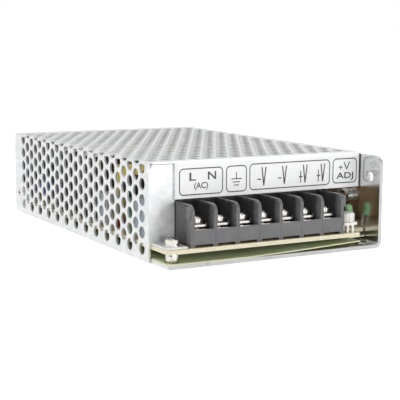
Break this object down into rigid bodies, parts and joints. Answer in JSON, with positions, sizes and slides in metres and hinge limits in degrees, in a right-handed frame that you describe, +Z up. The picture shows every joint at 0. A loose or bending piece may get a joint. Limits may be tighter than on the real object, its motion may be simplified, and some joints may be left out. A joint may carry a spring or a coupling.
{
  "type": "enclosed switching power supply",
  "caption": "Enclosed switching power supply with a perforated cover on a folded chassis, a barrier terminal block, trimmer and indicator on the front ledge.",
  "frame": {"origin": "centre of the footprint, on the mounting face of the base", "axes": "+Z up from the mounting face, +Y towards the rear, terminals at -Y, solid chassis wall at +X"},
  "size_m": [0.098, 0.159, 0.038],
  "materials": {
    "chassis_aluminium": "rolled sheet, bright folded edges",
    "galvanised_steel": "galvanised, faint spangle",
    "label_film": "satin white printed film",
    "nickel": "bright nickel plate",
    "zinc": "zinc plate",
    "clear_film": "thin milky polyester film",
    "board_laminate": "paper laminate, green mask below",
    "terminal_plastic": "charcoal moulded thermoplastic",
    "white_plastic": "white moulded plastic",
    "green_lens": "tinted clear epoxy",
    "tinned_wire": "tinned",
    "fuse_ceramic": "plain ceramic tube",
    "yellow_case": "yellow moulded case",
    "grey_blue_case": "pale blue-grey moulded case",
    "green_coat": "dipped green epoxy",
    "black_coat": "dipped black epoxy",
    "ferrite": "sintered ferrite",
    "copper_wire": "enamelled copper wire",
    "dark_sleeve": "shrink sleeve",
    "black_resin": "moulded epoxy",
    "blue_coat": "dipped blue epoxy",
    "red_coat": "dipped red epoxy",
    "yellow_tape": "polyester tape wrap",
    "yellow_core": "painted powder core",
    "brown_sleeve": "shrink sleeve",
    "grey_pad": "silicone pad",
    "blue_sleeve": "shrink sleeve",
    "resistor_coat": "dipped coat"
  },
  "bodies": {
    "supply": {"chassis": "chassis_aluminium", "mesh_cover": "galvanised_steel", "terminal_label": "label_film", "corner_screw": "nickel", "corner_washers": "zinc", "cover_screws": "zinc", "board_screws": "nickel", "board_spacers": "nickel", "insulating_film": "clear_film", "circuit_board": "board_laminate", "terminal_block": "terminal_plastic", "terminal_plates": "nickel", "trimmer_base": "white_plastic", "indicator_led": "green_lens", "led_leads": "tinned_wire", "fuse_tube": "fuse_ceramic", "fuse_clips": "tinned_wire", "x_capacitor": "yellow_case", "front_film_capacitor": "grey_blue_case", "rear_film_capacitor": "grey_blue_case", "varistor": "green_coat", "thermistor": "black_coat", "line_choke_core": "ferrite", "line_choke_windings": "copper_wire", "bulk_capacitors": "dark_sleeve", "bridge_rectifier": "black_resin", "y_capacitor": "blue_coat", "snubber_capacitor": "red_coat", "transformer_core": "ferrite", "transformer_bobbin": "black_resin", "transformer_winding": "yellow_tape", "output_choke_core": "yellow_core", "output_choke_winding": "copper_wire", "output_capacitors": "brown_sleeve", "output_rectifier": "black_resin", "power_transistor": "black_resin", "thermal_pads": "grey_pad", "rectifier_clip": "zinc", "heat_spreader_screws": "nickel", "control_chip": "black_resin", "optocoupler": "white_plastic", "signal_capacitors": "blue_sleeve", "resistors": "resistor_coat"},
    "trimmer_knob": {"trimmer_rotor": "white_plastic"},
    "clamp_1": {"clamp_washer_1": "nickel"},
    "screw_1": {"terminal_screw_1": "nickel"},
    "clamp_2": {"clamp_washer_2": "nickel"},
    "screw_2": {"terminal_screw_2": "nickel"},
    "clamp_3": {"clamp_washer_3": "nickel"},
    "screw_3": {"terminal_screw_3": "nickel"},
    "clamp_4": {"clamp_washer_4": "nickel"},
    "screw_4": {"terminal_screw_4": "nickel"},
    "clamp_5": {"clamp_washer_5": "nickel"},
    "screw_5": {"terminal_screw_5": "nickel"},
    "clamp_6": {"clamp_washer_6": "nickel"},
    "screw_6": {"terminal_screw_6": "nickel"},
    "clamp_7": {"clamp_washer_7": "nickel"},
    "screw_7": {"terminal_screw_7": "nickel"}
  },
  "joints": [
    {"name": "trimmer_turn", "type": "hinge", "parent": "supply", "child": "trimmer_knob", "pos_m": [0.0347, -0.0753, 0.0118], "axis": [0, 0, 1], "range_deg": [-130, 130]},
    {"name": "clamp_1_lift", "type": "slide", "parent": "supply", "child": "clamp_1", "axis": [0, 0, 1], "range_m": [-0.0008, 0.0016]},
    {"name": "screw_1_turn", "type": "hinge", "parent": "clamp_1", "child": "screw_1", "pos_m": [-0.03238, -0.0711, 0.0143], "axis": [0, 0, 1], "range_deg": [-480, 960]},
    {"name": "clamp_2_lift", "type": "slide", "parent": "supply", "child": "clamp_2", "axis": [0, 0, 1], "range_m": [-0.0008, 0.0016]},
    {"name": "screw_2_turn", "type": "hinge", "parent": "clamp_2", "child": "screw_2", "pos_m": [-0.02272, -0.0711, 0.0143], "axis": [0, 0, 1], "range_deg": [-480, 960]},
    {"name": "clamp_3_lift", "type": "slide", "parent": "supply", "child": "clamp_3", "axis": [0, 0, 1], "range_m": [-0.0008, 0.0016]},
    {"name": "screw_3_turn", "type": "hinge", "parent": "clamp_3", "child": "screw_3", "pos_m": [-0.01307, -0.0711, 0.0143], "axis": [0, 0, 1], "range_deg": [-480, 960]},
    {"name": "clamp_4_lift", "type": "slide", "parent": "supply", "child": "clamp_4", "axis": [0, 0, 1], "range_m": [-0.0008, 0.0016]},
    {"name": "screw_4_turn", "type": "hinge", "parent": "clamp_4", "child": "screw_4", "pos_m": [-0.00343, -0.0711, 0.0143], "axis": [0, 0, 1], "range_deg": [-480, 960]},
    {"name": "clamp_5_lift", "type": "slide", "parent": "supply", "child": "clamp_5", "axis": [0, 0, 1], "range_m": [-0.0008, 0.0016]},
    {"name": "screw_5_turn", "type": "hinge", "parent": "clamp_5", "child": "screw_5", "pos_m": [0.00622, -0.0711, 0.0143], "axis": [0, 0, 1], "range_deg": [-480, 960]},
    {"name": "clamp_6_lift", "type": "slide", "parent": "supply", "child": "clamp_6", "axis": [0, 0, 1], "range_m": [-0.0008, 0.0016]},
    {"name": "screw_6_turn", "type": "hinge", "parent": "clamp_6", "child": "screw_6", "pos_m": [0.01588, -0.0711, 0.0143], "axis": [0, 0, 1], "range_deg": [-480, 960]},
    {"name": "clamp_7_lift", "type": "slide", "parent": "supply", "child": "clamp_7", "axis": [0, 0, 1], "range_m": [-0.0008, 0.0016]},
    {"name": "screw_7_turn", "type": "hinge", "parent": "clamp_7", "child": "screw_7", "pos_m": [0.02552, -0.0711, 0.0143], "axis": [0, 0, 1], "range_deg": [-480, 960]}
  ],
  "couplings": [
    {"joint": "screw_1_turn", "follows": "clamp_1_lift", "rad_per_m": 10472},
    {"joint": "screw_2_turn", "follows": "clamp_2_lift", "rad_per_m": 10472},
    {"joint": "screw_3_turn", "follows": "clamp_3_lift", "rad_per_m": 10472},
    {"joint": "screw_4_turn", "follows": "clamp_4_lift", "rad_per_m": 10472},
    {"joint": "screw_5_turn", "follows": "clamp_5_lift", "rad_per_m": 10472},
    {"joint": "screw_6_turn", "follows": "clamp_6_lift", "rad_per_m": 10472},
    {"joint": "screw_7_turn", "follows": "clamp_7_lift", "rad_per_m": 10472}
  ]
}
